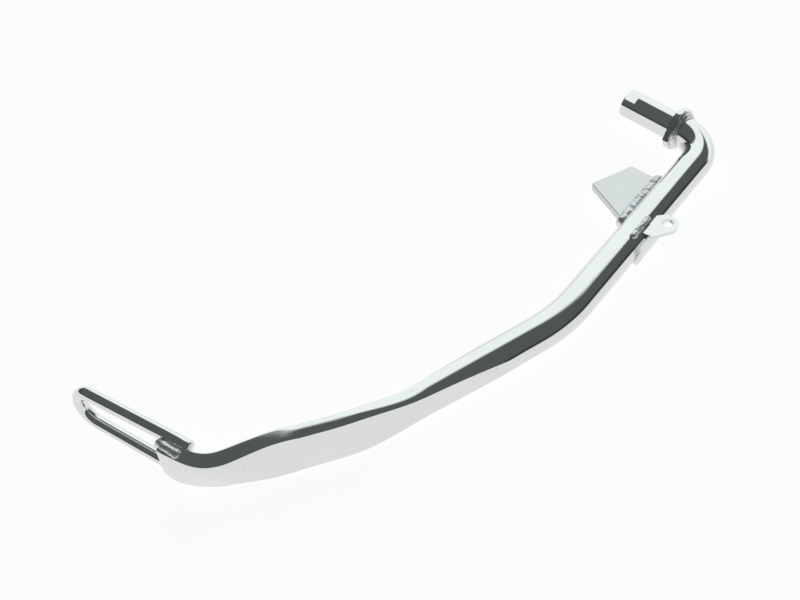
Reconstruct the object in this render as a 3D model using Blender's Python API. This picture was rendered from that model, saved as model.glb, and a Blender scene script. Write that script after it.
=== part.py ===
"""Side stand leg for a motorcycle: a bent steel bar with a flattened foot and welded fittings.

The pivot pin lies along Y with its free end at +Y, and the collar's shoulder is at y = 0.
The leg leaves the pin towards -X and bends in the XY plane. +Z is square to that plane.
Sizes are in millimetres, and each finished mesh is scaled to metres.
"""
import math

import bmesh
import bpy
from mathutils import Matrix, Vector

MM = 0.001
GAP = 0.3           # clearance between a piece and its neighbours
LINK_SIDES = 12     # sides of the foot loop's rod
BEAD_SIDES = 12     # sides of a weld bead
TURN_SIDES = 48     # sides of a turned piece

# The bar: round stock, with the same turn direction at every bend.
BAR_D = 17.5
BAR_R = BAR_D / 2
COLLAR_LENGTH = 3.7
LEG_ROUTE = (       # straight length, then the bend's radius and its angle in degrees
    (COLLAR_LENGTH + GAP, 21.5, 83.0),
    (124.2, 95.0, 18.5),
    (70.5, 150.0, 16.5),
    (46.0, 28.0, 54.0),
    (1.3, 1.0, 0.0),
)
LEG_START = COLLAR_LENGTH + GAP
LEG_LENGTH = sum(run + radius * math.radians(angle) for run, radius, angle in LEG_ROUTE)
BEND_STEP = math.radians(6.0)
SECTION_STEP = 3.0
CAP_SEGMENTS = 11   # segments of the crowned top of the section, and of its bottom

# The foot: the bar pressed flat, and twisted so that its top edge leans outwards before the toe.
FOOT_HEIGHT = 26.5
FOOT_THICKNESS = 7.5
SIDES_START = LEG_LENGTH - 194.0
SIDES_END = LEG_LENGTH - 94.0
FLAT_START = LEG_LENGTH - 122.8
FLAT_END = LEG_LENGTH - 84.8
PAD_START = LEG_LENGTH - 61.8
PAD_END = LEG_LENGTH - 47.8
PAD_SPREAD = 1.75
TWIST = math.radians(15.0)
TWIST_START = LEG_LENGTH - 51.8
TWIST_END = LEG_LENGTH - 21.3
TOE_TWIST = math.radians(4.0)
TOE_TWIST_START = LEG_LENGTH - 4.8
TOE_NARROWING = 4.5
NARROWING_START = LEG_LENGTH - 25.0
NARROWING_END = LEG_LENGTH - 8.0
TOE_LENGTH = 9.0
TOE_RISE = 5.5

# The pivot: a pin with a tapped hole and a milled flat at its free end, in a collar with two flats.
PIN_R = 8.15
PIN_END = 32.5
PIN_CHAMFER = 0.5
PIN_FLAT_LENGTH = 7.6
PIN_FLAT_DISTANCE = 6.9
PIN_FLAT_LEAN = math.radians(10.0)
TAP_R = 4.0
TAP_DEPTH = 19.0
COLLAR_R = 12.3
COLLAR_CHAMFER = 0.5
COLLAR_FLAT = 9.9
COLLAR_LEAN = math.radians(62.0)

# The stop plate, in the leg's plane. Corners are (along the bar, out from its axis, corner radius).
PLATE_Z = (-2.25, 1.75)
PLATE_ROOT = BAR_R + GAP
PLATE_CORNERS = (
    (24.6, PLATE_ROOT, 0.0),
    (23.2, 25.8, 1.2),
    (48.0, 36.4, 1.5),
    (63.6, PLATE_ROOT, 0.0),
)

# The spring bracket: a strap round the bar's outer flank with a flat ear and a hole.
SHEET = 2.1
STRAP_ALONG = (57.0, 80.5)
STRAP_R = (BAR_R + GAP, BAR_R + GAP + SHEET)
STRAP_ANGLES = (math.radians(-35.0), math.radians(44.0))
EAR_Z = (7.0 - SHEET, 7.0)
EAR_CORNERS = (
    (55.4, -5.0, 0.0),
    (51.1, -9.0, 3.0),
    (51.1, -17.9, 5.3),
    (59.3, -17.9, 4.0),
    (69.2, -11.2, 3.0),
    (70.4, -7.6, 0.0),
    (70.4, -5.0, 0.0),
)
EAR_HOLE = (56.7, -12.3)
EAR_HOLE_R = 3.1

# The foot loop: one rod bent to a hairpin, with both ends let into grooves in the blade's inner side.
LOOP_R = 3.175
LOOP_INSET = 4.4    # from the blade's mid-plane at the toe to the rod's axis
LOOP_TOP = 12.0
LOOP_BOTTOM = -11.2
LOOP_TAPER = math.radians(1.9)
LOOP_HEADING = math.radians(102.0)
LOOP_REACH = 53.5
LOOP_UPPER_TAIL = 11.8
LOOP_LOWER_TAIL = 6.5
LOOP_POINTS_IN_BEND = 16

CHROME = ((0.80, 0.81, 0.81, 1.0), 0.07)
BEAD_CHROME = ((0.66, 0.67, 0.67, 1.0), 0.22)


def smoothstep(value):
    """Rise from 0 to 1 with level ends, as value goes from 0 to 1."""
    value = min(max(value, 0.0), 1.0)
    return value * value * (3.0 - 2.0 * value)


def span(low, high, count):
    """Return count + 1 evenly spaced values from low to high."""
    return [low + (high - low) * index / count for index in range(count + 1)]


def leg_frame(distance):
    """Return the bar axis's point, its direction, and the direction of the bends' inner side."""
    point = Vector((0.0, 0.0, 0.0))
    heading = math.radians(-90.0)
    left = distance
    for run, radius, angle in LEG_ROUTE:
        forward = Vector((math.cos(heading), math.sin(heading), 0.0))
        inner = Vector((math.sin(heading), -math.cos(heading), 0.0))
        last = (run, radius, angle) == LEG_ROUTE[-1]
        if left <= run or last:
            return point + forward * left, forward, inner
        centre = point + forward * run + inner * radius
        turn = min((left - run) / radius, math.radians(angle))
        heading -= turn
        inner = Vector((math.sin(heading), -math.cos(heading), 0.0))
        point = centre - inner * radius
        if turn < math.radians(angle):
            return point, Vector((math.cos(heading), math.sin(heading), 0.0)), inner
        left -= run + radius * turn
    raise ValueError("the route ends in a straight")


def bar_point(along, out, height):
    """Place a point by its distance along the bar's first straight, out from its axis, and up."""
    first_run, first_radius, first_angle = LEG_ROUTE[0]
    straight_start = first_run + first_radius * math.radians(first_angle)
    start, forward, inner = leg_frame(straight_start)
    return start + forward * along + inner * out + Vector((0.0, 0.0, height))


def twist_at(distance):
    """Angle by which the section's top leans outwards."""
    leaning = TWIST * smoothstep((distance - TWIST_START) / (TWIST_END - TWIST_START))
    return leaning - (TWIST - TOE_TWIST) * smoothstep((distance - TWIST_END) / (TOE_TWIST_START - TWIST_END))


def toe_bottom(distance, top):
    """Depth of the section's lower edge below the bar's axis, which the rounded toe takes away."""
    narrowing = TOE_NARROWING * smoothstep((distance - NARROWING_START) / (NARROWING_END - NARROWING_START))
    into_toe = max(distance - (LEG_LENGTH - TOE_LENGTH), 0.0) / TOE_LENGTH
    return top - narrowing - TOE_RISE * (1.0 - math.sqrt(max(1.0 - into_toe ** 2, 0.0)))


def section_offset(distance, across, height):
    """Turn a point of the untwisted section into an offset from the bar's axis."""
    _, _, inner = leg_frame(distance)
    twist = twist_at(distance)
    turned_across = across * math.cos(twist) - height * math.sin(twist)
    turned_height = across * math.sin(twist) + height * math.cos(twist)
    return inner * turned_across + Vector((0.0, 0.0, turned_height))


def leg_ring(distance, grow):
    """Corners of the bar's section: round stock that becomes a blade with crowned edges."""
    flat = smoothstep((distance - FLAT_START) / (FLAT_END - FLAT_START))
    thin = smoothstep((distance - SIDES_START) / (SIDES_END - SIDES_START))
    pad = smoothstep((distance - PAD_START) / (PAD_END - PAD_START))
    top = (BAR_D + (FOOT_HEIGHT - BAR_D) * flat) / 2 + grow
    bottom = toe_bottom(distance, top)
    half_thickness = (BAR_D + (FOOT_THICKNESS - BAR_D) * thin) / 2 + grow
    half_width = (BAR_R + grow) * (1.0 + PAD_SPREAD * pad)
    smallest = math.pi / (2 * CAP_SEGMENTS + 2)
    corner = max(smallest, math.acos(min(half_thickness / half_width, 1.0)))
    point, _, _ = leg_frame(min(distance, LEG_LENGTH))
    upper = [(angle, top) for angle in span(corner, math.pi - corner, CAP_SEGMENTS)]
    lower = [(angle + math.pi, bottom) for angle in span(corner, math.pi - corner, CAP_SEGMENTS)]
    return [point + section_offset(distance, half_width * math.cos(angle), height * math.sin(angle))
            for angle, height in upper + lower]


def leg_distances():
    """Distances along the bar at which its section is drawn."""
    distances = []
    travelled = 0.0
    for run, radius, angle in LEG_ROUTE:
        bend_start = travelled + run
        travelled = bend_start + radius * math.radians(angle)
        steps = max(round(math.radians(angle) / BEND_STEP), 1)
        distances += [bend_start] + span(bend_start, travelled, steps)
    distances += span(SIDES_START, FLAT_START, round((FLAT_START - SIDES_START) / SECTION_STEP))
    distances += span(FLAT_START, FLAT_END, round((FLAT_END - FLAT_START) / SECTION_STEP))
    distances += span(PAD_START, NARROWING_END, round((NARROWING_END - PAD_START) / SECTION_STEP))
    distances = [value for value in distances if value < LEG_LENGTH - TOE_LENGTH]
    distances += [LEG_LENGTH - TOE_LENGTH * (1.0 - math.sin(angle)) for angle in span(0.0, math.pi / 2, 9)]
    kept = [LEG_START]
    for value in sorted(distances):
        if value - kept[-1] > 0.15:
            kept.append(value)
    return kept


def loft(rings):
    """Skin a closed body through rings that all have the same number of points."""
    bm = bmesh.new()
    loops = [[bm.verts.new(point) for point in ring] for ring in rings]
    count = len(loops[0])
    for near, far in zip(loops, loops[1:]):
        for index in range(count):
            after = (index + 1) % count
            bm.faces.new((near[index], near[after], far[after], far[index]))
    bm.faces.new(loops[0][::-1])
    bm.faces.new(loops[-1])
    bmesh.ops.recalc_face_normals(bm, faces=bm.faces)
    return bm


def tube(points, radii, sides):
    """Skin a round tube through points, with its own radius at each."""
    rings = []
    tangent_before = None
    side = None
    for index, point in enumerate(points):
        ahead = points[min(index + 1, len(points) - 1)]
        behind = points[max(index - 1, 0)]
        tangent = (ahead - behind).normalized()
        if side is None:
            side = tangent.orthogonal().normalized()
        else:
            side = tangent_before.rotation_difference(tangent) @ side
        up = tangent.cross(side)
        tangent_before = tangent
        angles = [2 * math.pi * corner / sides for corner in range(sides)]
        rings.append([point + radii[index] * (side * math.cos(a) + up * math.sin(a)) for a in angles])
    return loft(rings)


def prism(corners, sweep):
    """Extrude a closed outline of points along a vector."""
    bm = bmesh.new()
    face = bm.faces.new([bm.verts.new(point) for point in corners])
    swept = bmesh.ops.extrude_face_region(bm, geom=[face])
    moved = [item for item in swept["geom"] if isinstance(item, bmesh.types.BMVert)]
    bmesh.ops.translate(bm, verts=moved, vec=sweep)
    bmesh.ops.recalc_face_normals(bm, faces=bm.faces)
    return bm


def turned(profile):
    """Spin an (radius, y) outline about the Y axis, starting and ending on or off the axis."""
    bm = bmesh.new()
    verts = [bm.verts.new((radius, y, 0.0)) for radius, y in profile]
    edges = [bm.edges.new(pair) for pair in zip(verts, verts[1:])]
    bmesh.ops.spin(bm, geom=verts + edges, axis=(0, 1, 0), cent=(0, 0, 0),
                   angle=2 * math.pi, steps=TURN_SIDES, use_merge=True)
    bmesh.ops.remove_doubles(bm, verts=bm.verts, dist=0.01)
    bmesh.ops.recalc_face_normals(bm, faces=bm.faces)
    return bm


def rounded(corners, segments=6):
    """Round the corners (x, y, radius) of an outline with arcs."""
    outline = []
    for index, (x, y, radius) in enumerate(corners):
        here = Vector((x, y))
        before = (Vector(corners[index - 1][:2]) - here).normalized()
        after = (Vector(corners[(index + 1) % len(corners)][:2]) - here).normalized()
        if radius == 0.0:
            outline.append(here)
            continue
        half = before.angle(after) / 2
        centre = here + (before + after).normalized() * (radius / math.sin(half))
        first = here + before * (radius / math.tan(half)) - centre
        turn = first.angle_signed(here + after * (radius / math.tan(half)) - centre)
        outline += [centre + Matrix.Rotation(-turn * step / segments, 2) @ first
                    for step in range(segments + 1)]
    return outline


def make_material(name, look):
    """Make the piece's own metal."""
    colour, roughness = look
    material = bpy.data.materials.new(name + "_metal")
    material.use_nodes = True
    shader = material.node_tree.nodes["Principled BSDF"]
    shader.inputs["Base Color"].default_value = colour
    shader.inputs["Metallic"].default_value = 1.0
    shader.inputs["Roughness"].default_value = roughness
    return material


def add_piece(name, bm, look):
    """Turn a bmesh in millimetres into a named object in metres."""
    bm.transform(Matrix.Scale(MM, 4))
    mesh = bpy.data.meshes.new(name)
    bm.to_mesh(mesh)
    bm.free()
    mesh.shade_smooth()
    mesh.set_sharp_from_angle(angle=math.radians(35.0))
    piece = bpy.data.objects.new(name, mesh)
    mesh.materials.append(make_material(name, look))
    bpy.context.scene.collection.objects.link(piece)
    return piece


def add_guide(name, bm):
    """Add a shape that only cuts or joins other pieces."""
    guide = add_piece(name, bm, CHROME)
    guide.hide_render = True
    guide.display_type = "WIRE"
    return guide


def combine(piece, operation, *others):
    """Cut the piece by the others, or join them to it."""
    for other in others:
        modifier = piece.modifiers.new(operation.lower() + "_" + other.name, "BOOLEAN")
        modifier.operation = operation
        modifier.solver = "EXACT"
        modifier.object = other


def leg_body(grow):
    """The whole bar from the collar to the toe, grown on all sides by a clearance."""
    return loft([leg_ring(distance, grow) for distance in leg_distances()])


def cylinder(start, end, radius):
    """A plain round cutter between two points."""
    return tube([start, end], [radius, radius], TURN_SIDES)


def add_bead(name, path, radius, *cutters):
    """Lay a weld bead with round ends along a path and cut it back from the pieces that it joins."""
    lengths = [0.0]
    for near, far in zip(path, path[1:]):
        lengths.append(lengths[-1] + (far - near).length)
    radii = []
    for length in lengths:
        from_end = min(length, lengths[-1] - length)
        into_end = 1.0 - min(from_end / radius, 1.0)
        radii.append(radius * max(math.sqrt(1.0 - into_end ** 2), 0.35))
    bead = add_piece(name, tube(path, radii, BEAD_SIDES), BEAD_CHROME)
    combine(bead, "DIFFERENCE", *cutters)
    return bead


def bead_steps(low, high, radius):
    """Places along a bead, closer together at its round ends."""
    ends = [radius * share for share in (0.0, 0.12, 0.45)]
    middle = span(low + radius, high - radius, max(round((high - low) / 4.0), 2))
    return [low + step for step in ends] + middle + [high - step for step in reversed(ends)]


def build_pin():
    """The pivot pin: chamfered, with a tapped hole and a milled flat at its free end."""
    hole_bottom = PIN_END - TAP_DEPTH
    pin = add_piece("pivot_pin", turned((
        (0.0, -COLLAR_LENGTH),
        (PIN_R, -COLLAR_LENGTH),
        (PIN_R, PIN_END - PIN_CHAMFER),
        (PIN_R - PIN_CHAMFER, PIN_END),
        (TAP_R + PIN_CHAMFER, PIN_END),
        (TAP_R, PIN_END - PIN_CHAMFER),
        (TAP_R, hole_bottom),
        (0.0, hole_bottom - TAP_R * math.tan(math.radians(31.0))),
    )), CHROME)
    start, end = PIN_END - PIN_FLAT_LENGTH, PIN_END + 5.0
    lean = Matrix.Rotation(-PIN_FLAT_LEAN, 3, "Y")
    corners = [lean @ Vector((x, y, PIN_FLAT_DISTANCE))
               for x, y in ((-PIN_R, start), (PIN_R, start), (PIN_R, end), (-PIN_R, end))]
    flat = add_guide("pin_flat_cutter", prism(corners, lean @ Vector((0.0, 0.0, PIN_R))))
    combine(pin, "DIFFERENCE", flat)


def collar_side(side):
    """Block that takes away the collar beyond one of its two flats."""
    lean = Matrix.Rotation(-COLLAR_LEAN, 3, "Y")
    corners = [lean @ Vector((x, -2 * COLLAR_LENGTH, side * COLLAR_FLAT))
               for x in (-2 * COLLAR_R, 2 * COLLAR_R)]
    corners += [corner + Vector((0.0, 3 * COLLAR_LENGTH, 0.0)) for corner in reversed(corners)]
    return prism(corners, lean @ Vector((0.0, 0.0, side * COLLAR_R)))


def build_collar():
    """The ring that bears on the frame's bracket, with two parallel flats."""
    inside = PIN_R + GAP
    outside = COLLAR_R - COLLAR_CHAMFER
    collar = add_piece("pivot_collar", turned((
        (inside, 0.0),
        (outside, 0.0),
        (COLLAR_R, -COLLAR_CHAMFER),
        (COLLAR_R, COLLAR_CHAMFER - COLLAR_LENGTH),
        (outside, -COLLAR_LENGTH),
        (inside, -COLLAR_LENGTH),
        (inside, 0.0),
    )), CHROME)
    sides = [add_guide("collar_flat_cutter_" + name, collar_side(side))
             for name, side in (("front", 1.0), ("rear", -1.0))]
    combine(collar, "DIFFERENCE", *sides)


def build_collar_weld(near_bar, near_collar):
    """The bead round the bar behind the collar."""
    bead_y = -COLLAR_LENGTH - GAP
    angles = span(math.radians(-100.0), math.radians(252.0), 36)
    ring = [Vector((BAR_R * math.cos(a), bead_y, BAR_R * math.sin(a))) for a in angles]
    add_bead("collar_weld", ring, 2.9, near_bar, near_collar)


def build_stop_plate(near_bar):
    """The flat plate that meets the frame's stop, with a bead above and below its root."""
    outline = rounded(PLATE_CORNERS)
    corners = [bar_point(point.x, point.y, PLATE_Z[0]) for point in outline]
    add_piece("stop_plate", prism(corners, Vector((0.0, 0.0, PLATE_Z[1] - PLATE_Z[0]))), CHROME)
    thick = PLATE_Z[1] - PLATE_Z[0] + 2 * GAP
    low, high = PLATE_CORNERS[0][0] - GAP, PLATE_CORNERS[-1][0] + GAP
    clear = [bar_point(along, out, PLATE_Z[0] - GAP)
             for along, out in ((low, PLATE_ROOT - GAP), (low, 20.0), (high, 20.0), (high, PLATE_ROOT - GAP))]
    near_plate = add_guide("plate_cutter", prism(clear, Vector((0.0, 0.0, thick))))
    bead_r = 2.6
    steps = bead_steps(low - 3.6, high + 1.8, bead_r)
    for name, height in (("stop_plate_weld_upper", PLATE_Z[1]), ("stop_plate_weld_lower", PLATE_Z[0])):
        side = math.copysign(1.0, height)
        path = [bar_point(along, BAR_R + 0.9, height - side * 0.5) for along in steps]
        middle = [bar_point(along, out, (PLATE_Z[0] + PLATE_Z[1] + side * GAP) / 2)
                  for along, out in ((low - 9.0, 0.0), (low - 9.0, 20.0), (high + 9.0, 20.0), (high + 9.0, 0.0))]
        other_half = add_guide(name + "_cutter", prism(middle, Vector((0.0, 0.0, -side * 10.0))))
        add_bead(name, path, bead_r, near_bar, near_plate, other_half)


def strap_body(grow):
    """The strap round the bar's outer flank, grown on all sides by a clearance."""
    low, high = STRAP_ALONG[0] - grow, STRAP_ALONG[1] + grow
    swing = grow / BAR_R
    bottom, top = STRAP_ANGLES[0] - swing, STRAP_ANGLES[1] + swing
    sector = [(STRAP_R[0] - grow, angle) for angle in span(bottom, top, 10)]
    sector += [(STRAP_R[1] + grow, angle) for angle in span(top, bottom, 12)]
    corners = [bar_point(low, -radius * math.cos(angle), radius * math.sin(angle))
               for radius, angle in sector]
    return prism(corners, bar_point(high, 0.0, 0.0) - bar_point(low, 0.0, 0.0))


def ear_body(grow):
    """The flat ear, grown up and down by a clearance."""
    corners = [bar_point(point.x, point.y, EAR_Z[0] - grow) for point in rounded(EAR_CORNERS)]
    return prism(corners, Vector((0.0, 0.0, EAR_Z[1] - EAR_Z[0] + 2 * grow)))


def build_spring_bracket(near_bar):
    """The strap with its ear, drilled for the spring, and the beads along its two edges."""
    bracket = add_piece("spring_bracket", strap_body(0.0), CHROME)
    combine(bracket, "UNION", add_guide("ear_blank", ear_body(0.0)))
    drill = add_guide("ear_drill", cylinder(
        bar_point(*EAR_HOLE, EAR_Z[0] - 2.0), bar_point(*EAR_HOLE, EAR_Z[1] + 2.0), EAR_HOLE_R))
    combine(bracket, "DIFFERENCE", near_bar, drill)
    near_strap = add_guide("strap_cutter", strap_body(GAP))
    near_ear = add_guide("ear_cutter", ear_body(GAP))
    low, high = STRAP_ALONG
    for name, bead_r, edge, reach in (
            ("spring_bracket_weld_upper", 2.5, STRAP_ANGLES[1] + math.radians(14.0), 0.3),
            ("spring_bracket_weld_lower", 2.0, STRAP_ANGLES[0] - math.radians(3.0), 0.3)):
        out, height = -(BAR_R + reach) * math.cos(edge), (BAR_R + reach) * math.sin(edge)
        path = [bar_point(along, out, height) for along in bead_steps(low + 1.0, high - 0.5, bead_r)]
        add_bead(name, path, bead_r, near_bar, near_strap, near_ear)


def beside_toe(along, across, height):
    """Place a point by its distance past the blade's end, across from the blade's mid-plane, and up."""
    end, forward, inner = leg_frame(LEG_LENGTH)
    return end + forward * along + inner * across + Vector((0.0, 0.0, height))


def loop_route(lengthen):
    """Axis of the foot loop's rod, from its upper cut end round to its lower one."""
    start = beside_toe(0.0, LOOP_INSET, 0.0)
    forward = Vector((math.cos(LOOP_HEADING), math.sin(LOOP_HEADING), 0.0))
    middle = (LOOP_TOP + LOOP_BOTTOM) / 2
    half = (LOOP_TOP - LOOP_BOTTOM) / 2
    bend_r = (half - LOOP_REACH * math.tan(LOOP_TAPER)) / (1.0 / math.cos(LOOP_TAPER) - math.tan(LOOP_TAPER))
    reach = LOOP_REACH - bend_r
    route = [start - forward * (LOOP_UPPER_TAIL + lengthen) + Vector((0.0, 0.0, LOOP_TOP)),
             start + Vector((0.0, 0.0, LOOP_TOP))]
    for angle in span(LOOP_TAPER, math.pi - LOOP_TAPER, LOOP_POINTS_IN_BEND):
        level = Vector((0.0, 0.0, middle + bend_r * math.cos(angle)))
        route.append(start + forward * (reach + bend_r * math.sin(angle)) + level)
    route.append(start + Vector((0.0, 0.0, LOOP_BOTTOM)))
    route.append(start - forward * (LOOP_LOWER_TAIL + lengthen) + Vector((0.0, 0.0, LOOP_BOTTOM)))
    return route


def loop_body(grow):
    """The hairpin rod, grown on all sides by a clearance."""
    route = loop_route(grow)
    return tube(route, [LOOP_R + grow] * len(route), LINK_SIDES)


def build_foot_loop(near_bar, near_rod):
    """The hairpin rod that the rider's boot catches, and its three beads."""
    add_piece("foot_loop", loop_body(0.0), CHROME)
    top = FOOT_HEIGHT / 2
    upper_r, back_r, lower_r = 2.5, 2.0, 2.3
    upper = []
    for along in bead_steps(-11.5, 3.0, upper_r):
        over_end = smoothstep((along + 2.0) / 5.0)
        upper.append(beside_toe(along, 0.9 * over_end - 0.9, top - 0.9 - 2.2 * over_end))
    add_bead("foot_loop_weld_upper", upper, upper_r, near_bar, near_rod)
    back = [beside_toe(along, LOOP_INSET + 1.3, LOOP_TOP - LOOP_R - 0.6)
            for along in bead_steps(-8.0, 1.2, back_r)]
    add_bead("foot_loop_weld_back", back, back_r, near_bar, near_rod)
    lower = []
    for along in bead_steps(-7.0, 1.8, lower_r):
        depth = toe_bottom(LEG_LENGTH + min(along, -0.6), top)
        lower.append(beside_toe(along, 0.2, -depth - 0.5))
    add_bead("foot_loop_weld_lower", lower, lower_r, near_bar, near_rod)


def build():
    """Build every piece of the stand."""
    for item in list(bpy.data.objects):
        bpy.data.objects.remove(item)
    bar = add_piece("leg_bar", leg_body(0.0), CHROME)
    near_bar = add_guide("bar_cutter", leg_body(GAP))
    near_rod = add_guide("rod_cutter", loop_body(GAP))
    combine(bar, "DIFFERENCE", near_rod)
    near_collar = add_guide("collar_cutter", cylinder(
        Vector((0.0, GAP, 0.0)), Vector((0.0, -COLLAR_LENGTH - GAP, 0.0)), COLLAR_R + GAP))
    build_pin()
    build_collar()
    build_collar_weld(near_bar, near_collar)
    build_stop_plate(near_bar)
    build_spring_bracket(near_bar)
    build_foot_loop(near_bar, near_rod)


build()
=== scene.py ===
"""Studio scene of a motorcycle's side stand leg: a bent chromed bar with welded fittings.

Lengths in the shape code are millimetres in the row's frame. Each finished mesh is scaled to metres.
"""
import math

import bmesh
import bpy
from mathutils import Matrix, Vector, noise


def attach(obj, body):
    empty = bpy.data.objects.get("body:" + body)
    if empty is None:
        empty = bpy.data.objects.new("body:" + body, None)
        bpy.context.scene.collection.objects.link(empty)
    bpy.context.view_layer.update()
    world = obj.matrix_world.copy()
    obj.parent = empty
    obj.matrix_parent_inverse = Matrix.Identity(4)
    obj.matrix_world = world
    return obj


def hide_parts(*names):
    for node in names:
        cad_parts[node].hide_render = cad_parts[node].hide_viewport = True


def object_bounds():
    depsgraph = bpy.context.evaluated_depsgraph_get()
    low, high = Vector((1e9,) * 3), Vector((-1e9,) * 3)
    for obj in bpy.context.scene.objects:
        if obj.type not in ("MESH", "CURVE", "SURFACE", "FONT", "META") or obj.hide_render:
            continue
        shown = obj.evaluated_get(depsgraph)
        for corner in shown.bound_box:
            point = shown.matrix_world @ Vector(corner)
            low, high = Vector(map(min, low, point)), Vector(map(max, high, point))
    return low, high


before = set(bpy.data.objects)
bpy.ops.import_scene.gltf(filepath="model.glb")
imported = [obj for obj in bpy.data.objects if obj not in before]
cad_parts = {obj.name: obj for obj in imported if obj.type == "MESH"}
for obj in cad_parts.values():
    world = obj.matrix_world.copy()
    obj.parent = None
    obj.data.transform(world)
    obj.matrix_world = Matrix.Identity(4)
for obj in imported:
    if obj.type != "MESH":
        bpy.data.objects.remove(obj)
cad_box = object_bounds()

MM = 0.001
SHARP_ANGLE = 38.0  # degrees between faces beyond which an edge is drawn sharp

# The bar, with the same turn direction at every bend.
BAR_D = 17.5
BAR_R = BAR_D / 2
BAR_SIDES = 56
COLLAR_LENGTH = 3.7
LEG_START = COLLAR_LENGTH + 0.3
LEG_ROUTE = (       # straight length, then the bend's radius and its angle in degrees
    (LEG_START, 21.5, 83.0),
    (124.2, 95.0, 18.5),
    (70.5, 150.0, 16.5),
    (46.0, 28.0, 54.0),
    (1.3, 1.0, 0.0),
)
LEG_LENGTH = sum(run + radius * math.radians(angle) for run, radius, angle in LEG_ROUTE)
RING_STEP = 2.0

# The foot, pressed flat and twisted outwards before the toe.
FOOT_HEIGHT = 26.5
FOOT_THICKNESS = 7.5
SIDES_START = LEG_LENGTH - 194.0
SIDES_END = LEG_LENGTH - 94.0
FLAT_START = LEG_LENGTH - 122.8
FLAT_END = LEG_LENGTH - 84.8
PAD_START = LEG_LENGTH - 60.8
PAD_END = LEG_LENGTH - 50.8
PAD_SPREAD = 1.75
TWIST = math.radians(15.0)
TWIST_START = LEG_LENGTH - 51.8
TWIST_END = LEG_LENGTH - 21.3
TOE_TWIST = math.radians(4.0)
TOE_TWIST_START = LEG_LENGTH - 4.8
TOE_NARROWING = 4.5
NARROWING_START = LEG_LENGTH - 25.0
NARROWING_END = LEG_LENGTH - 8.0
TOE_LENGTH = 9.0
TOE_RISE = 5.5
BLADE_EDGE = 1.3
TOE_EDGE = 1.1
TOE_STEPS = 9
TOE_EDGE_STEPS = 5

# The pivot.
PIN_R = 8.15
PIN_END = 32.5
PIN_CHAMFER = 0.5
PIN_EASING = (0.15, 0.08)   # across and along, where a chamfer meets the end face
PIN_TIP_R = 0.05            # the ring round the axis that closes an end
PIN_FLAT_LENGTH = 7.6
PIN_FLAT_DISTANCE = 6.9
PIN_FLAT_LEAN = math.radians(10.0)
TAP_R = 4.0
TAP_DEPTH = 19.0
DRILL_POINT = math.radians(31.0)
THREAD_PITCH = 1.59
THREAD_DEPTH = 0.55
THREAD_LEAD = 0.8
THREAD_START = 0.6
THREAD_FADE = 1.2
THREAD_STEPS = 6    # rings to one turn of the thread
COLLAR_R = 12.3
COLLAR_CHAMFER = 0.5
COLLAR_FLAT = 9.9
COLLAR_LEAN = math.radians(62.0)
COLLAR_CLEARANCE = 0.05
TURN_SIDES = 96
TURNED_SHARP = 24.0
TURNED_GRAIN = (1.0, 0.15, 1.0)

# The stop plate. Corners are (along the bar, out from its axis, corner radius).
PLATE_Z = (-2.25, 1.75)
PLATE_ROOT = BAR_R - 0.8
PLATE_CORNERS = (
    (24.6, PLATE_ROOT, 0.0),
    (23.2, 25.8, 1.2),
    (48.0, 36.4, 1.5),
    (63.6, PLATE_ROOT, 0.0),
)
PLATE_SOFTENING = 0.35

# The spring bracket. Its strap ends a little lower than the solid's does.
SHEET = 2.1
STRAP_ALONG = (57.0, 80.5)
STRAP_R = (BAR_R + 0.1, BAR_R + 0.3 + SHEET)
STRAP_STEPS = 20
STRAP_ANGLES = (math.radians(-35.0), math.radians(38.0))
EAR_Z = (7.0 - SHEET, 7.0)
EAR_CORNERS = (
    (55.4, -5.0, 0.0),
    (51.1, -9.0, 3.0),
    (51.1, -17.9, 5.3),
    (59.3, -17.9, 4.0),
    (69.2, -11.2, 3.0),
    (70.4, -7.6, 0.0),
    (70.4, -5.0, 0.0),
)
EAR_HOLE = (56.7, -12.3)
EAR_HOLE_R = 3.1
EAR_HOLE_SIDES = 64
DRILL_PAST = 2.0
BRACKET_SOFTENING = 0.28

# The foot loop. Its rod is a little thinner than the solid's, to stay inside the solids' box.
LOOP_R = 3.07
LOOP_SIDES = 40
LOOP_BEND_STEPS = 48
LOOP_INSET = 4.4
LOOP_TOP = 12.0
LOOP_BOTTOM = -11.2
LOOP_TAPER = math.radians(1.9)
LOOP_HEADING = math.radians(102.0)
LOOP_REACH = 53.5
LOOP_UPPER_TAIL = 11.8
LOOP_TAIL_RING = 6.0
LOOP_LOWER_TAIL = 6.5
LOOP_CUT_EDGE = 0.5

# The weld beads. A bead's span is in millimetres along its path.
BEAD_STEP = 0.22
BEAD_SIDES = 28
BEAD_END_R = 0.05          # the smallest part of the radius, at an end
BEAD_RIPPLE = 2.3
BEAD_RIPPLE_DEPTH = 0.022
BEAD_LAG = 0.45            # how far a ripple's sides trail its middle, in radii
BEAD_DRIFT = 0.35
BEAD_DRIFT_LENGTH = 4.0
BEAD_UNEVENNESS = 0.16
BEAD_UNEVEN_LENGTH = 3.0
COLLAR_BEAD_R = 2.2
COLLAR_BEAD_Y = -COLLAR_LENGTH - 0.7
COLLAR_BEAD_START = math.radians(-100.0)
COLLAR_BEAD_TURN = math.radians(352.0)
COLLAR_BEAD_FRONT = -COLLAR_LENGTH - 0.03
PLATE_BEAD_R = 3.1
PLATE_BEAD_SPAN = (PLATE_CORNERS[0][0] - 3.9, PLATE_CORNERS[-1][0] + 2.1)
PLATE_BEAD_OUT = BAR_R + 0.8
PLATE_BEAD_SINK = 1.5
STRAP_BEAD_OUT = BAR_R + 0.1
STRAP_UPPER_BEAD_R = 1.8
STRAP_UPPER_BEAD_SPAN = (STRAP_ALONG[0] + 3.0, STRAP_ALONG[1] - 2.0)
STRAP_UPPER_BEAD_ANGLE = STRAP_ANGLES[1] + math.radians(31.0)
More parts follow.
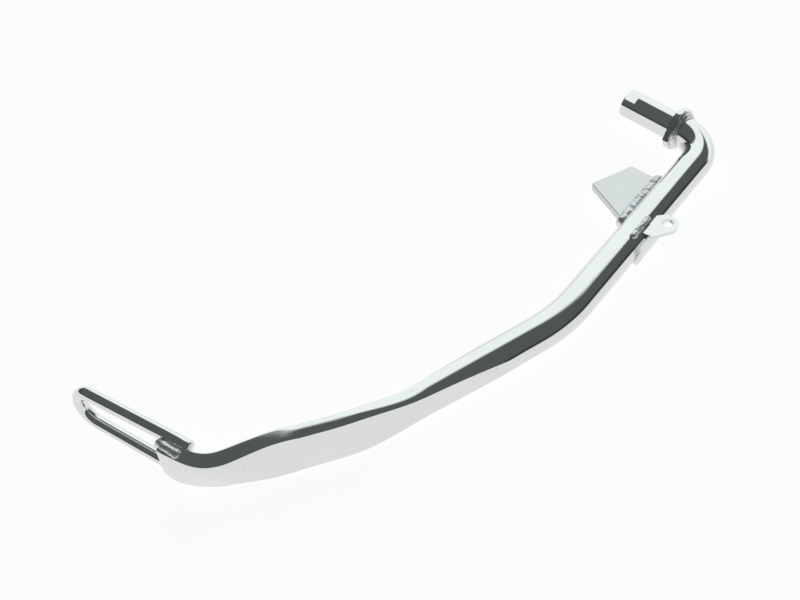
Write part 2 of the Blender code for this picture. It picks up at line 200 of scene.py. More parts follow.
STRAP_LOWER_BEAD_R = 2.0
STRAP_LOWER_BEAD_SPAN = (STRAP_ALONG[0] + 1.0, STRAP_ALONG[1] - 0.5)
STRAP_LOWER_BEAD_ANGLE = STRAP_ANGLES[0] - math.radians(3.0)
LOOP_UPPER_BEAD_R = 2.5
LOOP_UPPER_BEAD_SPAN = (-11.5, 3.0)
LOOP_UPPER_BEAD_SINK = 0.9
LOOP_UPPER_BEAD_DROP = 2.2      # where it runs down past the blade's end
LOOP_UPPER_BEAD_ASIDE = 0.9
LOOP_UPPER_BEAD_BEND = (-2.0, 5.0)
LOOP_BACK_BEAD_R = 2.0
LOOP_BACK_BEAD_SPAN = (-8.0, 1.2)
LOOP_BACK_BEAD_ACROSS = LOOP_INSET + 1.3
LOOP_BACK_BEAD_Z = LOOP_TOP - LOOP_R - 0.6
LOOP_LOWER_BEAD_R = 2.3
LOOP_LOWER_BEAD_SPAN = (-7.0, 1.8)
LOOP_LOWER_BEAD_LEVEL = -0.6    # beyond it the bead keeps its height
LOOP_LOWER_BEAD_ACROSS = 0.2
LOOP_LOWER_BEAD_GAP = 0.5

# The camera, and the way it looks. FAR is the level direction away from it, and RIGHT its right.
CAMERA_PLACE = (-0.4761, -0.2363, 0.4200)
CAMERA_LOOK = (0.4872, 0.4586, -0.7431)
CAMERA_LENS = 52.3
FAR = Vector((CAMERA_LOOK[0], CAMERA_LOOK[1], 0.0)).normalized()
RIGHT = Vector((FAR.y, -FAR.x, 0.0))

# The studio. A light's edge is a plane through the part. It is given by the normal on its lit side, as
# far, right and up, and then by its softness.
TABLE_HALF = 1.6
TABLE_GREY = 0.16
TABLE_GLOW = 0.93
TABLE_EDGE = (0.0, 0.0, -1.0, 0.06)
SOFTBOX_LEFT = (0.465, 1.0, -0.26, 0.06)
SOFTBOX_TOP = (1.80, 0.0, -1.0, 0.11)
SOFTBOX_RIGHT = (0.03, -1.0, 0.71, 0.06)
SCREEN_LEFT = (0.32, 1.0, 0.0, 0.12)
SCREEN_TOP = (0.62, 0.0, -1.0, 0.06)
SCREEN_RIGHT = (3.7, -1.0, 0.0, 0.06)
SOFTBOX_COLOUR = (1.12, 1.19, 1.20, 1.0)
WHITE = (1.0, 1.0, 1.0, 1.0)
STUDIO_LOW_COLOUR = (0.030, 0.032, 0.031, 1.0)
STUDIO_HIGH_COLOUR = (0.108, 0.121, 0.119, 1.0)
STUDIO_LIGHTENING = (0.05, 0.35)

# The plating's colours.
CHROME_COOL = (0.705, 0.722, 0.712)
CHROME_BRIGHT = (0.735, 0.745, 0.742)
CHROME_PIT = (0.30, 0.31, 0.31, 1.0)
WELD_DULL = (0.72, 0.735, 0.735, 1.0)
WELD_BRIGHT = (0.80, 0.81, 0.81, 1.0)
WELD_FLECK = (0.12, 0.13, 0.13, 1.0)


def smoothstep(value):
    """Rise from 0 to 1 with level ends, as value goes from 0 to 1."""
    value = min(max(value, 0.0), 1.0)
    return value * value * (3.0 - 2.0 * value)


def span(low, high, count):
    """Return count + 1 evenly spaced values from low to high."""
    return [low + (high - low) * index / count for index in range(count + 1)]


def leg_frame(distance):
    """Return the bar axis's point, its direction, and the direction of the bends' inner side."""
    point = Vector((0.0, 0.0, 0.0))
    heading = math.radians(-90.0)
    left = distance
    for run, radius, angle in LEG_ROUTE:
        forward = Vector((math.cos(heading), math.sin(heading), 0.0))
        inner = Vector((math.sin(heading), -math.cos(heading), 0.0))
        last = (run, radius, angle) == LEG_ROUTE[-1]
        if left <= run or last:
            return point + forward * left, forward, inner
        centre = point + forward * run + inner * radius
        turn = min((left - run) / radius, math.radians(angle))
        heading -= turn
        inner = Vector((math.sin(heading), -math.cos(heading), 0.0))
        point = centre - inner * radius
        if turn < math.radians(angle):
            return point, Vector((math.cos(heading), math.sin(heading), 0.0)), inner
        left -= run + radius * turn
    raise ValueError("the route ends in a straight")


def bar_point(along, out, height):
    """Place a point by its distance along the bar's first straight, out from its axis, and up."""
    first_run, first_radius, first_angle = LEG_ROUTE[0]
    start, forward, inner = leg_frame(first_run + first_radius * math.radians(first_angle))
    return start + forward * along + inner * out + Vector((0.0, 0.0, height))


def twist_at(distance):
    """Angle by which the section's top leans outwards."""
    leaning = TWIST * smoothstep((distance - TWIST_START) / (TWIST_END - TWIST_START))
    return leaning - (TWIST - TOE_TWIST) * smoothstep((distance - TWIST_END) / (TOE_TWIST_START - TWIST_END))


def toe_bottom(distance, top):
    """Depth of the section's lower edge below the bar's axis, which the rounded toe takes away."""
    narrowing = TOE_NARROWING * smoothstep((distance - NARROWING_START) / (NARROWING_END - NARROWING_START))
    into_toe = min(max(distance - (LEG_LENGTH - TOE_LENGTH), 0.0) / TOE_LENGTH, 1.0)
    return top - narrowing - TOE_RISE * (1.0 - math.sqrt(1.0 - into_toe ** 2))


def section_quadrant(half_thickness, half_width, reach, edge):
    """Points (across, height) of a flat-sided section with a crowned top and rounded edges."""
    def crown(angle):
        facing = math.atan2(half_width * math.sin(angle), reach * math.cos(angle))
        return half_width * math.cos(angle), reach * math.sin(angle), facing

    low, high = 0.0, math.pi / 2
    for _ in range(30):
        middle = (low + high) / 2
        across, _, facing = crown(middle)
        if across - edge * math.cos(facing) > half_thickness - edge:
            low = middle
        else:
            high = middle
    _, corner_height, corner_facing = crown(high)
    centre_height = corner_height - edge * math.sin(corner_facing)
    points = []
    count = BAR_SIDES // 4
    for index in range(count):
        facing = math.pi / 2 * (index + 0.5) / count
        if facing < corner_facing:
            points.append((half_thickness - edge + edge * math.cos(facing),
                           centre_height + edge * math.sin(facing)))
        else:
            angle = math.atan2(reach * math.sin(facing), half_width * math.cos(facing))
            points.append((half_width * math.cos(angle), reach * math.sin(angle)))
    return points


def leg_ring(distance, inset):
    """Corners of the bar's section, drawn in on all sides by an inset."""
    flat = smoothstep((distance - FLAT_START) / (FLAT_END - FLAT_START))
    thin = smoothstep((distance - SIDES_START) / (SIDES_END - SIDES_START))
    pad = smoothstep((distance - PAD_START) / (PAD_END - PAD_START))
    top = (BAR_D + (FOOT_HEIGHT - BAR_D) * flat) / 2
    bottom = toe_bottom(distance, top) - inset
    half_thickness = (BAR_D + (FOOT_THICKNESS - BAR_D) * thin) / 2 - inset
    half_width = (BAR_R - inset) * (1.0 + PAD_SPREAD * pad)
    edge = BLADE_EDGE * smoothstep(thin * 2.0)
    upper = section_quadrant(half_thickness, half_width, top - inset, edge)
    lower = section_quadrant(half_thickness, half_width, bottom, edge)
    outline = upper + [(-x, y) for x, y in reversed(upper)]
    outline += [(-x, -y) for x, y in lower] + [(x, -y) for x, y in reversed(lower)]
    point, _, inner = leg_frame(distance)
    lean = twist_at(distance)
    return [point + inner * (x * math.cos(lean) - y * math.sin(lean))
            + Vector((0.0, 0.0, x * math.sin(lean) + y * math.cos(lean))) for x, y in outline]


def skin(rings, capped=True):
    """Skin a body through rings that all have the same number of points."""
    bm = bmesh.new()
    loops = [[bm.verts.new(point) for point in ring] for ring in rings]
    count = len(loops[0])
    for near, far in zip(loops, loops[1:]):
        for index in range(count):
            after = (index + 1) % count
            bm.faces.new((near[index], near[after], far[after], far[index]))
    if capped:
        bm.faces.new(loops[0][::-1])
        bm.faces.new(loops[-1])
    bmesh.ops.recalc_face_normals(bm, faces=bm.faces)
    return bm


def tube_rings(points, radii, sides, swell=None):
    """Rings of a round tube. swell(index, angle) scales the radius at one corner."""
    rings = []
    tangent_before = None
    side = None
    for index, point in enumerate(points):
        tangent = (points[min(index + 1, len(points) - 1)] - points[max(index - 1, 0)]).normalized()
        if side is None:
            side = (Vector((0.0, 0.0, 1.0)) - tangent * tangent.z).normalized()
        else:
            side = tangent_before.rotation_difference(tangent) @ side
        up = tangent.cross(side)
        tangent_before = tangent
        ring = []
        for corner in range(sides):
            angle = 2 * math.pi * corner / sides
            radius = radii[index] * (swell(index, angle) if swell else 1.0)
            ring.append(point + radius * (side * math.cos(angle) + up * math.sin(angle)))
        rings.append(ring)
    return rings


def prism(corners, sweep):
    """Extrude a closed outline of points along a vector."""
    bm = bmesh.new()
    face = bm.faces.new([bm.verts.new(point) for point in corners])
    swept = bmesh.ops.extrude_face_region(bm, geom=[face])
    moved = [item for item in swept["geom"] if isinstance(item, bmesh.types.BMVert)]
    bmesh.ops.translate(bm, verts=moved, vec=sweep)
    bmesh.ops.recalc_face_normals(bm, faces=bm.faces)
    return bm


def rounded(corners, segments=10):
    """Round the corners (x, y, radius) of an outline with arcs."""
    outline = []
    for index, (x, y, radius) in enumerate(corners):
        here = Vector((x, y))
        before = (Vector(corners[index - 1][:2]) - here).normalized()
        after = (Vector(corners[(index + 1) % len(corners)][:2]) - here).normalized()
        if radius == 0.0:
            outline.append(here)
            continue
        half = before.angle(after) / 2
        centre = here + (before + after).normalized() * (radius / math.sin(half))
        first = here + before * (radius / math.tan(half)) - centre
        turn = first.angle_signed(here + after * (radius / math.tan(half)) - centre)
        outline += [centre + Matrix.Rotation(-turn * step / segments, 2) @ first
                    for step in range(segments + 1)]
    return outline


def arc_corner(centre, radius, start, end, steps=4):
    """Points (radius, y) of a rounded corner in a turned profile; angles in degrees."""
    return [(centre[0] + radius * math.cos(math.radians(a)), centre[1] + radius * math.sin(math.radians(a)))
            for a in span(start, end, steps)]


def turned_rings(profile):
    """Rings of a turned piece about the Y axis, from (radius, y) or (radius, y, threaded)."""
    rings = []
    for radius, y, *threaded in profile:
        ring = []
        for corner in range(TURN_SIDES):
            angle = 2 * math.pi * corner / TURN_SIDES
            reach = radius
            if threaded:
                phase = (y / THREAD_PITCH - angle / (2 * math.pi)) % 1.0
                reach += THREAD_DEPTH * (1.0 - abs(2.0 * phase - 1.0)) * threaded[0]
            ring.append(Vector((reach * math.cos(angle), y, reach * math.sin(angle))))
        rings.append(ring)
    return rings


def press_to_plane(rings, normal, limit, low, high):
    """Move the points beyond a plane back onto it, where y lies between low and high."""
    for ring in rings:
        for point in ring:
            beyond = point.dot(normal) - limit
            if beyond > 0.0 and low <= point.y <= high:
                point -= normal * beyond


def add_piece(name, node, bm, material, sharp=SHARP_ANGLE):
    """Turn a bmesh in millimetres into a piece in metres that replaces one of the part's nodes."""
    bm.transform(Matrix.Scale(MM, 4))
    mesh = bpy.data.meshes.new(name)
    bm.to_mesh(mesh)
    bm.free()
    mesh.shade_smooth()
    mesh.set_sharp_from_angle(angle=math.radians(sharp))
    mesh.materials.append(material)
    piece = bpy.data.objects.new(name, mesh)
    bpy.context.scene.collection.objects.link(piece)
    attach(piece, "root")
    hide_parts(node)
    return piece


def add_cutter(name, bm):
    """Add a shape that only cuts or joins another piece, then give back its object."""
    bm.transform(Matrix.Scale(MM, 4))
    mesh = bpy.data.meshes.new(name)
    bm.to_mesh(mesh)
    bm.free()
    return bpy.data.objects.new(name, mesh)


def combine(piece, operation, cutter):
    """Apply a Boolean with a cutter, which is then removed."""
    bpy.context.scene.collection.objects.link(cutter)
    modifier = piece.modifiers.new("combine", "BOOLEAN")
    modifier.operation = operation
    modifier.solver = "EXACT"
    modifier.object = cutter
    graph = bpy.context.evaluated_depsgraph_get()
    result = bpy.data.meshes.new_from_object(piece.evaluated_get(graph))
    piece.modifiers.clear()
    materials = list(piece.data.materials)
    piece.data = result
    piece.data.materials.clear()
    for material in materials:
        piece.data.materials.append(material)
    bpy.data.objects.remove(cutter)


def soften(piece, width, angle=40.0):
    """Round a piece's sharp edges."""
    bevel = piece.modifiers.new("rounded_edges", "BEVEL")
    bevel.width = width * MM
    bevel.segments = 3
    bevel.limit_method = "ANGLE"
    bevel.angle_limit = math.radians(angle)
    bevel.harden_normals = True


# ---------------------------------------------------------------- materials

def new_material(name):
    """An empty node material with its shader and an object-space coordinate, in millimetres."""
    material = bpy.data.materials.new(name)
    material.use_nodes = True
    tree = material.node_tree
    shader = tree.nodes["Principled BSDF"]
    shader.inputs["Metallic"].default_value = 1.0
    place = tree.nodes.new("ShaderNodeTexCoord").outputs["Object"]
    to_mm = tree.nodes.new("ShaderNodeVectorMath")
    to_mm.operation = "SCALE"
    to_mm.inputs["Scale"].default_value = 1.0 / MM
    tree.links.new(place, to_mm.inputs[0])
    return material, tree, shader, to_mm.outputs[0]


def add_noise(tree, place, size, detail, stretch=(1.0, 1.0, 1.0), offset=0.0):
    """Noise with features of a size in millimetres, drawn out along the larger stretches."""
    mapping = tree.nodes.new("ShaderNodeMapping")
    mapping.inputs["Scale"].default_value = [1.0 / (size * factor) for factor in stretch]
    mapping.inputs["Location"].default_value = (offset, offset * 0.7, offset * 1.3)
    tree.links.new(place, mapping.inputs["Vector"])
    node = tree.nodes.new("ShaderNodeTexNoise")
    node.inputs["Scale"].default_value = 1.0
    node.inputs["Detail"].default_value = detail
    tree.links.new(mapping.outputs[0], node.inputs["Vector"])
    return node.outputs[0]


def add_range(tree, value, low, high, to_low, to_high):
    """Map a value's range smoothly onto another one."""
    node = tree.nodes.new("ShaderNodeMapRange")
    node.interpolation_type = "SMOOTHSTEP"
    for socket, number in zip(("From Min", "From Max", "To Min", "To Max"), (low, high, to_low, to_high)):
        node.inputs[socket].default_value = number
    tree.links.new(value, node.inputs["Value"])
    return node.outputs[0]


def add_math(tree, operation, first, second):
    """Combine two values, either of which may be a number."""
    node = tree.nodes.new("ShaderNodeMath")
    node.operation = operation
    for socket, value in zip(node.inputs, (first, second)):
        if isinstance(value, (int, float)):
            socket.default_value = value
        else:
            tree.links.new(value, socket)
    return node.outputs[0]


def add_blend(tree, factor, first, second):
    """Blend between two colours by a factor; either colour may be a socket."""
    node = tree.nodes.new("ShaderNodeMix")
    node.data_type = "RGBA"
    tree.links.new(factor, node.inputs["Factor"])
    for socket, value in ((node.inputs[6], first), (node.inputs[7], second)):
        if isinstance(value, tuple):
            socket.default_value = value
        else:
            tree.links.new(value, socket)
    return node.outputs[2]


def add_bump(tree, height, depth, normal=None):
    """Bump of a depth in millimetres, on top of another one if given."""
    node = tree.nodes.new("ShaderNodeBump")
    node.inputs["Distance"].default_value = depth * MM
    node.inputs["Strength"].default_value = 1.0
    tree.links.new(height, node.inputs["Height"])
    if normal is not None:
        tree.links.new(normal, node.inputs["Normal"])
    return node.outputs[0]


def shaded(colour, shade):
    """A colour made darker by a factor, as an opaque one."""
    return tuple(channel * shade for channel in colour) + (1.0,)


def chrome(name, offset=0.0, wave=0.030, grain=(1.0, 1.0, 1.0), polish=(0.035, 0.085), shade=1.0):
    """Bright plate over hand-ground steel: slight waves, faint grinding lines and a few pits."""
    material, tree, shader, place = new_material(name)
    cloud = add_noise(tree, place, size=26.0, detail=3.0, offset=offset)
    lines = add_noise(tree, place, size=0.35, detail=4.0, stretch=grain, offset=offset)
    pits = add_noise(tree, place, size=1.1, detail=1.0, offset=offset + 3.0)
    pitted = add_range(tree, pits, 0.74, 0.80, 0.0, 1.0)
    cloudy = add_range(tree, cloud, 0.3, 0.7, 0.0, 1.0)
    body = add_blend(tree, cloudy, shaded(CHROME_COOL, shade), shaded(CHROME_BRIGHT, shade))
    tree.links.new(add_blend(tree, pitted, body, CHROME_PIT), shader.inputs["Base Color"])
    rough = add_range(tree, add_math(tree, "ADD", cloud, lines), 0.7, 1.35, polish[0], polish[1])
    tree.links.new(rough, shader.inputs["Roughness"])
    swells = add_noise(tree, place, size=11.0, detail=1.5, offset=offset + 7.0)
    ground = add_bump(tree, lines, depth=0.0006, normal=add_bump(tree, swells, depth=wave))
    tree.links.new(add_bump(tree, pitted, depth=-0.006, normal=ground), shader.inputs["Normal"])
    return material


def weld_chrome(name, offset):
    """Plate over weld metal that was left as it cooled: grainy, with dark flecks."""
    material, tree, shader, place = new_material(name)
    grains = add_noise(tree, place, size=0.8, detail=4.0, offset=offset)
    lumps = add_noise(tree, place, size=2.6, detail=2.0, offset=offset + 5.0)
    flecks = add_range(tree, grains, 0.63, 0.70, 0.0, 1.0)
    body = add_blend(tree, add_range(tree, lumps, 0.35, 0.65, 0.0, 1.0), WELD_DULL, WELD_BRIGHT)
    tree.links.new(add_blend(tree, flecks, body, WELD_FLECK), shader.inputs["Base Color"])
    rough = add_range(tree, add_math(tree, "ADD", grains, lumps), 0.7, 1.3, 0.34, 0.52)
    tree.links.new(rough, shader.inputs["Roughness"])
    rolling = add_bump(tree, lumps, depth=0.16)
    tree.links.new(add_bump(tree, grains, depth=0.03, normal=rolling), shader.inputs["Normal"])
    return material


# ---------------------------------------------------------------- pieces

def build_leg():
    """The bar from the collar to the rounded end of the toe."""
    steps = math.ceil((LEG_LENGTH - TOE_LENGTH - LEG_START) / RING_STEP)
    distances = span(LEG_START, LEG_LENGTH - TOE_LENGTH, steps)
    last = LEG_LENGTH - TOE_EDGE
    distances += [last - (TOE_LENGTH - TOE_EDGE) * (1.0 - math.sin(angle))
                  for angle in span(0.0, math.pi / 2, TOE_STEPS)[1:]]
    rings = [leg_ring(distance, 0.0) for distance in distances]
    for angle in span(0.0, math.pi / 2, TOE_EDGE_STEPS)[1:]:
        rings.append(leg_ring(last + TOE_EDGE * math.sin(angle), TOE_EDGE * (1.0 - math.cos(angle))))
    add_piece("polished_leg", "leg_bar", skin(rings), chrome("leg_chrome"))


def pin_outside():
    """Outline of the pin from its buried end to its chamfered free end."""
    flat_start = PIN_END - PIN_FLAT_LENGTH
    shoulder = PIN_END - PIN_CHAMFER - 0.05
    across, along = PIN_EASING
    outline = [(PIN_TIP_R, -COLLAR_LENGTH), (PIN_R, -COLLAR_LENGTH)]
    outline += [(PIN_R, y) for y in span(-2.0, flat_start, 8)]
    outline += [(PIN_R, y) for y in span(flat_start + 0.02, shoulder - 0.15, 3)]
    outline += [(PIN_R - 0.03, shoulder)]
    outline += [(PIN_R - PIN_CHAMFER, PIN_END - along), (PIN_R - PIN_CHAMFER - across, PIN_END)]
    return outline


def pin_thread():
    """Outline of the threaded hole from its mouth to the drill's point; the thread fades in."""
    bottom = PIN_END - TAP_DEPTH
    across, along = PIN_EASING
    outline = [(TAP_R + PIN_CHAMFER + across, PIN_END), (TAP_R + PIN_CHAMFER, PIN_END - along)]
    rings = round((TAP_DEPTH - THREAD_LEAD) / THREAD_PITCH * THREAD_STEPS)
    for y in span(PIN_END - THREAD_LEAD, bottom, rings):
        fade = smoothstep((PIN_END - THREAD_START - y) / THREAD_FADE)
        outline.append((TAP_R - THREAD_DEPTH * 0.4 * fade, y, fade))
    return outline + [(PIN_TIP_R, bottom - TAP_R * math.tan(DRILL_POINT))]


def build_pin():
    """The pivot pin with its threaded hole and the milled flat at its free end."""
    rings = turned_rings(pin_outside() + pin_thread())
    flat_normal = Vector((-math.sin(PIN_FLAT_LEAN), 0.0, math.cos(PIN_FLAT_LEAN)))
    press_to_plane(rings, flat_normal, PIN_FLAT_DISTANCE, PIN_END - PIN_FLAT_LENGTH + 0.01, PIN_END)
    plating = chrome("pin_chrome", 11.0, wave=0.012, grain=TURNED_GRAIN, polish=(0.05, 0.11))
    add_piece("turned_pin", "pivot_pin", skin(rings), plating, sharp=TURNED_SHARP)


def build_collar():
    """The shoulder ring with its two flats."""
    inside = PIN_R + COLLAR_CLEARANCE
    corner = COLLAR_CHAMFER
    profile = [(inside, -COLLAR_LENGTH), (inside, 0.0), (inside + 0.2, 0.0)]
    profile += arc_corner((COLLAR_R - corner, -corner), corner, 90.0, 0.0)
    profile += arc_corner((COLLAR_R - corner, corner - COLLAR_LENGTH), corner, 0.0, -90.0)
    profile += [(inside + 0.2, -COLLAR_LENGTH), (inside, -COLLAR_LENGTH)]
    rings = turned_rings(profile)
    normal = Vector((-math.sin(COLLAR_LEAN), 0.0, math.cos(COLLAR_LEAN)))
    for side in (1.0, -1.0):
        press_to_plane(rings, normal * side, COLLAR_FLAT, -COLLAR_LENGTH, 0.0)
    bm = skin(rings, capped=False)
    bmesh.ops.remove_doubles(bm, verts=bm.verts, dist=0.001)
    bmesh.ops.recalc_face_normals(bm, faces=bm.faces)
    plating = chrome("collar_chrome", 17.0, wave=0.02, grain=TURNED_GRAIN, polish=(0.05, 0.12))
    add_piece("shoulder_collar", "pivot_collar", bm, plating, sharp=TURNED_SHARP)


def build_stop_plate():
    """The flat plate in the inside of the first bend."""
    corners = [bar_point(point.x, point.y, PLATE_Z[0]) for point in rounded(PLATE_CORNERS)]
    blank = prism(corners, Vector((0.0, 0.0, PLATE_Z[1] - PLATE_Z[0])))
    plating = chrome("plate_chrome", 23.0, wave=0.09, polish=(0.10, 0.20), shade=0.83)
    soften(add_piece("stop_plate_blank", "stop_plate", blank, plating), PLATE_SOFTENING)


def build_spring_bracket():
    """The strap round the bar's outer flank, with the drilled ear."""
    low, high = STRAP_ALONG
    bottom, top = STRAP_ANGLES
    sector = [(STRAP_R[0], angle) for angle in span(bottom, top, STRAP_STEPS)]
    sector += [(STRAP_R[1], angle) for angle in span(top, bottom, STRAP_STEPS)]
    corners = [bar_point(low, -radius * math.cos(angle), radius * math.sin(angle))
               for radius, angle in sector]
    strap = prism(corners, bar_point(high, 0.0, 0.0) - bar_point(low, 0.0, 0.0))
    plating = chrome("bracket_chrome", 29.0, wave=0.04, polish=(0.05, 0.12))
    bracket = add_piece("formed_bracket", "spring_bracket", strap, plating)
    ear = [bar_point(point.x, point.y, EAR_Z[0]) for point in rounded(EAR_CORNERS)]
    combine(bracket, "UNION", add_cutter("ear", prism(ear, Vector((0.0, 0.0, EAR_Z[1] - EAR_Z[0])))))
    along, out = EAR_HOLE
    start = EAR_Z[0] - DRILL_PAST
    hole = [bar_point(along + EAR_HOLE_R * math.cos(angle), out + EAR_HOLE_R * math.sin(angle), start)
            for angle in span(0.0, 2 * math.pi, EAR_HOLE_SIDES)[:-1]]
    drill = prism(hole, Vector((0.0, 0.0, SHEET + 2 * DRILL_PAST)))
    combine(bracket, "DIFFERENCE", add_cutter("drill", drill))
    bracket.data.shade_smooth()
    bracket.data.set_sharp_from_angle(angle=math.radians(SHARP_ANGLE))
    soften(bracket, BRACKET_SOFTENING)


def beside_toe(along, across, height):
    """Place a point by its distance past the blade's end, across from the blade's mid-plane, and up."""
    end, forward, inner = leg_frame(LEG_LENGTH)
    return end + forward * along + inner * across + Vector((0.0, 0.0, height))


def build_foot_loop():
    """The hairpin rod, with its cut edge rounded at the upper end."""
    start = beside_toe(0.0, LOOP_INSET, 0.0)
    forward = Vector((math.cos(LOOP_HEADING), math.sin(LOOP_HEADING), 0.0))
    middle = (LOOP_TOP + LOOP_BOTTOM) / 2
    half = (LOOP_TOP - LOOP_BOTTOM) / 2
    bend_r = (half - LOOP_REACH * math.tan(LOOP_TAPER)) / (1.0 / math.cos(LOOP_TAPER) - math.tan(LOOP_TAPER))
    reach = LOOP_REACH - bend_r
    top, bottom = Vector((0.0, 0.0, LOOP_TOP)), Vector((0.0, 0.0, LOOP_BOTTOM))
    edge = LOOP_CUT_EDGE
    backs = (LOOP_UPPER_TAIL, LOOP_UPPER_TAIL - edge / 3, LOOP_UPPER_TAIL - edge, LOOP_TAIL_RING, 0.0)
    route = [start - forward * back + top for back in backs]
    for angle in span(LOOP_TAPER, math.pi - LOOP_TAPER, LOOP_BEND_STEPS):
        level = Vector((0.0, 0.0, middle + bend_r * math.cos(angle)))
        route.append(start + forward * (reach + bend_r * math.sin(angle)) + level)
    route += [start + bottom, start - forward * LOOP_LOWER_TAIL + bottom]
    radii = [LOOP_R - edge, LOOP_R - edge * 0.35] + [LOOP_R] * (len(route) - 2)
    plating = chrome("loop_chrome", 31.0, wave=0.010, polish=(0.04, 0.09))
    add_piece("hairpin_loop", "foot_loop", skin(tube_rings(route, radii, LOOP_SIDES)), plating)


def build_bead(name, node, path, reach, radius, seed, front=None):
    """A weld bead along path(value), with rounded ends and crescent ripples. front limits its y."""
    low, high = reach
    points = [path(value) for value in span(low, high, round((high - low) / BEAD_STEP))]
    lengths = [0.0]
    for near, far in zip(points, points[1:]):
        lengths.append(lengths[-1] + (far - near).length)
    radii = []
    for length in lengths:
        into_end = 1.0 - min(min(length, lengths[-1] - length) / radius, 1.0)
        radii.append(radius * max(math.sqrt(1.0 - into_end ** 2), BEAD_END_R))

    def swell(index, angle):
        lag = BEAD_LAG * radius * (1.0 - math.cos(2.0 * angle)) / 2
        drift = BEAD_DRIFT * noise.noise(Vector((seed, lengths[index] / BEAD_DRIFT_LENGTH, 0.0)))
        crest = abs(math.sin(math.pi * ((lengths[index] + lag) / BEAD_RIPPLE + drift))) ** 0.7
        place = points[index] / BEAD_UNEVEN_LENGTH + Vector((seed, math.cos(angle), math.sin(angle)))
        uneven = noise.noise(place)
        return 1.0 + BEAD_RIPPLE_DEPTH * (crest - 0.6) + BEAD_UNEVENNESS * uneven

    rings = tube_rings(points, radii, BEAD_SIDES, swell)
    if front is not None:
        press_to_plane(rings, Vector((0.0, 1.0, 0.0)), front, -LEG_LENGTH, LEG_LENGTH)
    add_piece(name, node, skin(rings), weld_chrome(name + "_metal", seed), sharp=60.0)


def build_collar_bead():
    """The bead round the bar, behind the collar."""
    def round_bar(value):
        angle = COLLAR_BEAD_START + value / BAR_R
        return Vector((BAR_R * math.cos(angle), COLLAR_BEAD_Y, BAR_R * math.sin(angle)))

    build_bead("collar_fillet", "collar_weld", round_bar, (0.0, BAR_R * COLLAR_BEAD_TURN),
               COLLAR_BEAD_R, 2.0, front=COLLAR_BEAD_FRONT)


def build_plate_beads():
    """The beads above and below the stop plate's root."""
    def above(along):
        return bar_point(along, PLATE_BEAD_OUT, PLATE_Z[1] - PLATE_BEAD_SINK)

    def below(along):
        return bar_point(along, PLATE_BEAD_OUT, PLATE_Z[0] + PLATE_BEAD_SINK)

    build_bead("plate_fillet_upper", "stop_plate_weld_upper", above, PLATE_BEAD_SPAN, PLATE_BEAD_R, 5.0)
    build_bead("plate_fillet_lower", "stop_plate_weld_lower", below, PLATE_BEAD_SPAN, PLATE_BEAD_R, 8.0)


def build_strap_beads():
    """The beads along the strap's two edges."""
    def beside_strap(angle):
        out, height = -STRAP_BEAD_OUT * math.cos(angle), STRAP_BEAD_OUT * math.sin(angle)
        return lambda along: bar_point(along, out, height)

    build_bead("strap_fillet_upper", "spring_bracket_weld_upper", beside_strap(STRAP_UPPER_BEAD_ANGLE),
               STRAP_UPPER_BEAD_SPAN, STRAP_UPPER_BEAD_R, 12.0)
    build_bead("strap_fillet_lower", "spring_bracket_weld_lower", beside_strap(STRAP_LOWER_BEAD_ANGLE),
               STRAP_LOWER_BEAD_SPAN, STRAP_LOWER_BEAD_R, 14.0)


def build_loop_beads():
    """The beads that hold the hairpin rod: over the blade's end, inside it and under it."""
    top = FOOT_HEIGHT / 2

    def over_blade(along):
        start, run = LOOP_UPPER_BEAD_BEND
        bent = smoothstep((along - start) / run)
        across = LOOP_UPPER_BEAD_ASIDE * bent - LOOP_UPPER_BEAD_ASIDE
        return beside_toe(along, across, top - LOOP_UPPER_BEAD_SINK - LOOP_UPPER_BEAD_DROP * bent)

    def under_rod(along):
        return beside_toe(along, LOOP_BACK_BEAD_ACROSS, LOOP_BACK_BEAD_Z)

    def under_blade(along):
        depth = toe_bottom(LEG_LENGTH + min(along, LOOP_LOWER_BEAD_LEVEL), top)
        return beside_toe(along, LOOP_LOWER_BEAD_ACROSS, -depth - LOOP_LOWER_BEAD_GAP)

    build_bead("loop_fillet_upper", "foot_loop_weld_upper", over_blade, LOOP_UPPER_BEAD_SPAN,
               LOOP_UPPER_BEAD_R, 21.0)
    build_bead("loop_fillet_back", "foot_loop_weld_back", under_rod, LOOP_BACK_BEAD_SPAN,
               LOOP_BACK_BEAD_R, 25.0)
    build_bead("loop_fillet_lower", "foot_loop_weld_lower", under_blade, LOOP_LOWER_BEAD_SPAN,
               LOOP_LOWER_BEAD_R, 27.0)


# ---------------------------------------------------------------- studio

def table_white():
    """Matt white that glows a little, so that the part throws only a faint shadow on it."""
    material = bpy.data.materials.new("table_white")
    material.use_nodes = True
    shader = material.node_tree.nodes["Principled BSDF"]
    shader.inputs["Base Color"].default_value = (TABLE_GREY, TABLE_GREY, TABLE_GREY, 1.0)
    shader.inputs["Roughness"].default_value = 1.0
    shader.inputs["Specular IOR Level"].default_value = 0.0
    shader.inputs["Emission Color"].default_value = WHITE
    shader.inputs["Emission Strength"].default_value = TABLE_GLOW
    return material


def build_floor():
    """The table top, level with the part's lowest point."""
    low, high = cad_box
    centre = (low + high) / 2
    bm = bmesh.new()
    corners = [(centre.x + x * TABLE_HALF, centre.y + y * TABLE_HALF, low.z)
               for x, y in ((-1, -1), (1, -1), (1, 1), (-1, 1))]
    bm.faces.new([bm.verts.new(corner) for corner in corners])
    mesh = bpy.data.meshes.new("table_top")
    bm.to_mesh(mesh)
    bm.free()
    mesh.materials.append(table_white())
    table = bpy.data.objects.new("table_top", mesh)
    bpy.context.scene.collection.objects.link(table)


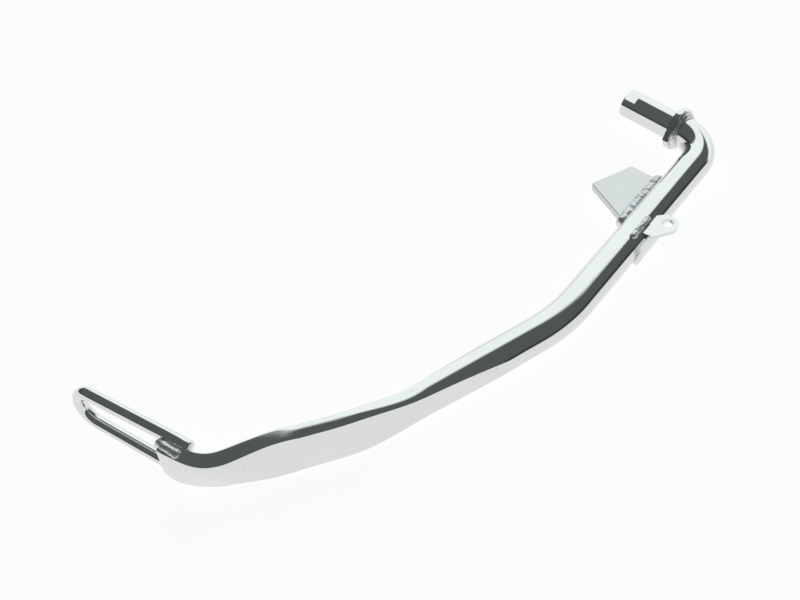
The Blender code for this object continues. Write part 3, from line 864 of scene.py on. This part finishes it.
def add_side(tree, direction, edge):
    """1 on the lit side of one of the studio's light edges, and 0 beyond it."""
    far, right, up, softness = edge
    normal = FAR * far + RIGHT * right + Vector((0.0, 0.0, up))
    node = tree.nodes.new("ShaderNodeVectorMath")
    node.operation = "DOT_PRODUCT"
    node.inputs[1].default_value = normal.normalized()
    tree.links.new(direction, node.inputs[0])
    return add_range(tree, node.outputs["Value"], -softness, softness, 0.0, 1.0)


def add_light_shape(tree, direction, edges):
    """1 inside all the edges of a light."""
    shape = add_side(tree, direction, edges[0])
    for edge in edges[1:]:
        shape = add_math(tree, "MINIMUM", shape, add_side(tree, direction, edge))
    return shape


def build_studio_light():
    """A bright table all round, a large soft light on the far side, and a dark studio above.

    The camera itself sees plain white behind the table.
    """
    world = bpy.data.worlds.new("studio")
    bpy.context.scene.world = world
    world.use_nodes = True
    tree = world.node_tree
    direction = tree.nodes.new("ShaderNodeTexCoord").outputs["Generated"]
    split = tree.nodes.new("ShaderNodeSeparateXYZ")
    tree.links.new(direction, split.inputs[0])
    height = add_range(tree, split.outputs["Z"], *STUDIO_LIGHTENING, 0.0, 1.0)
    studio = add_blend(tree, height, STUDIO_LOW_COLOUR, STUDIO_HIGH_COLOUR)
    room = add_blend(tree, add_side(tree, direction, TABLE_EDGE), studio, WHITE)
    softbox = add_light_shape(tree, direction, (SOFTBOX_LEFT, SOFTBOX_TOP, SOFTBOX_RIGHT))
    screen = add_light_shape(tree, direction, (SCREEN_LEFT, SCREEN_TOP, SCREEN_RIGHT))
    lit = add_blend(tree, add_math(tree, "MAXIMUM", softbox, screen), room, SOFTBOX_COLOUR)
    background = tree.nodes["Background"]
    tree.links.new(lit, background.inputs["Color"])
    backdrop = tree.nodes.new("ShaderNodeBackground")
    backdrop.inputs["Color"].default_value = WHITE
    paths = tree.nodes.new("ShaderNodeLightPath")
    mix = tree.nodes.new("ShaderNodeMixShader")
    tree.links.new(paths.outputs["Is Camera Ray"], mix.inputs[0])
    tree.links.new(background.outputs[0], mix.inputs[1])
    tree.links.new(backdrop.outputs[0], mix.inputs[2])
    tree.links.new(mix.outputs[0], tree.nodes["World Output"].inputs["Surface"])


def build_camera():
    """The camera, level from side to side."""
    data = bpy.data.cameras.new("camera")
    data.lens = CAMERA_LENS
    data.sensor_width = 36.0
    data.clip_start = 0.01
    camera = bpy.data.objects.new("camera", data)
    camera.location = CAMERA_PLACE
    camera.rotation_euler = Vector(CAMERA_LOOK).to_track_quat("-Z", "Y").to_euler()
    bpy.context.scene.collection.objects.link(camera)
    bpy.context.scene.camera = camera


build_leg()
build_pin()
build_collar()
build_stop_plate()
build_spring_bracket()
build_foot_loop()
build_collar_bead()
build_plate_beads()
build_strap_beads()
build_loop_beads()
build_floor()
build_studio_light()
build_camera()
bpy.context.scene.view_settings.view_transform = "Standard"
